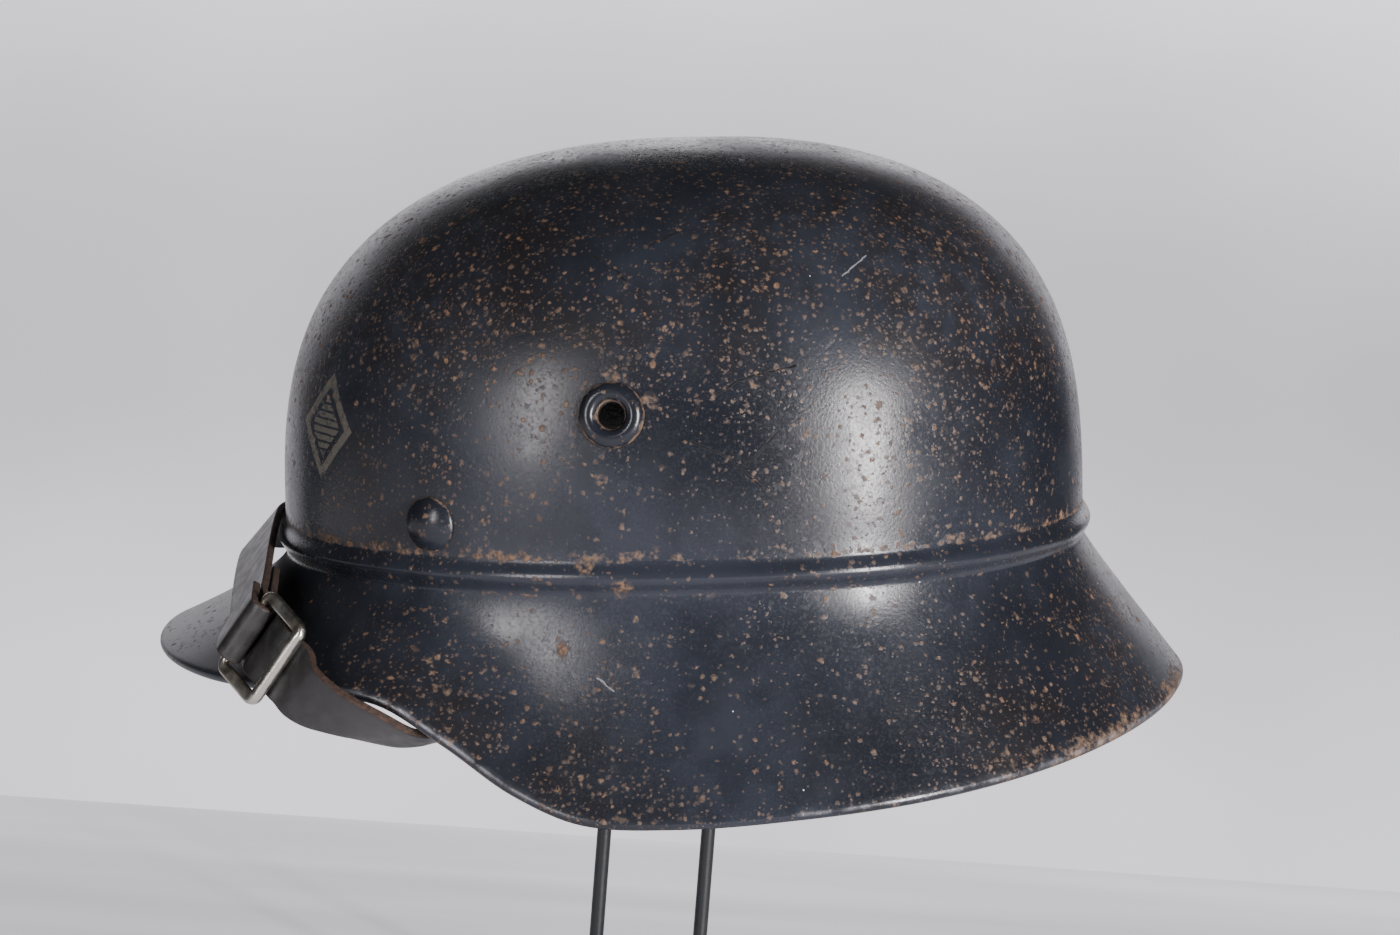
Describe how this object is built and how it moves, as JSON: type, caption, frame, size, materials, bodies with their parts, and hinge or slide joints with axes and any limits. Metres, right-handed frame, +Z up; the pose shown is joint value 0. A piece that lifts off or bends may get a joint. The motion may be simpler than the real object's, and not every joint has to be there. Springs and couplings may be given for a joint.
{
  "type": "air raid helmet on a wire stand",
  "caption": "Stamped steel helmet with a beaded crown, a front peak, a deep flared skirt, side vents and a buckled leather chin strap laid over the peak, held up on a plain bent wire stand.",
  "frame": {"origin": "middle of the stand's underside, below the middle of the helmet", "axes": "+X to the helmet's rear and -X to its peak, -Y to the wearer's left, where the buckle is, +Z up"},
  "size_m": [0.2852, 0.2316, 0.2678],
  "materials": {
    "shell_paint": "worn blue-grey paint with rust specks",
    "vent_paint": "worn paint, rusty round the hole",
    "strap_leather": "black grain with raw brown edges",
    "buckle_steel": "tarnished",
    "stand_paint": "dark blue-grey"
  },
  "bodies": {
    "root": {"shell": "shell_paint", "vent_left": "vent_paint", "vent_right": "vent_paint", "rivet_left": "shell_paint", "rivet_right": "shell_paint", "strap_left": "strap_leather", "strap_right": "strap_leather", "buckle": "buckle_steel", "stand_cradle": "stand_paint", "stand_wire": "stand_paint", "stand_base": "stand_paint"}
  },
  "joints": []
}
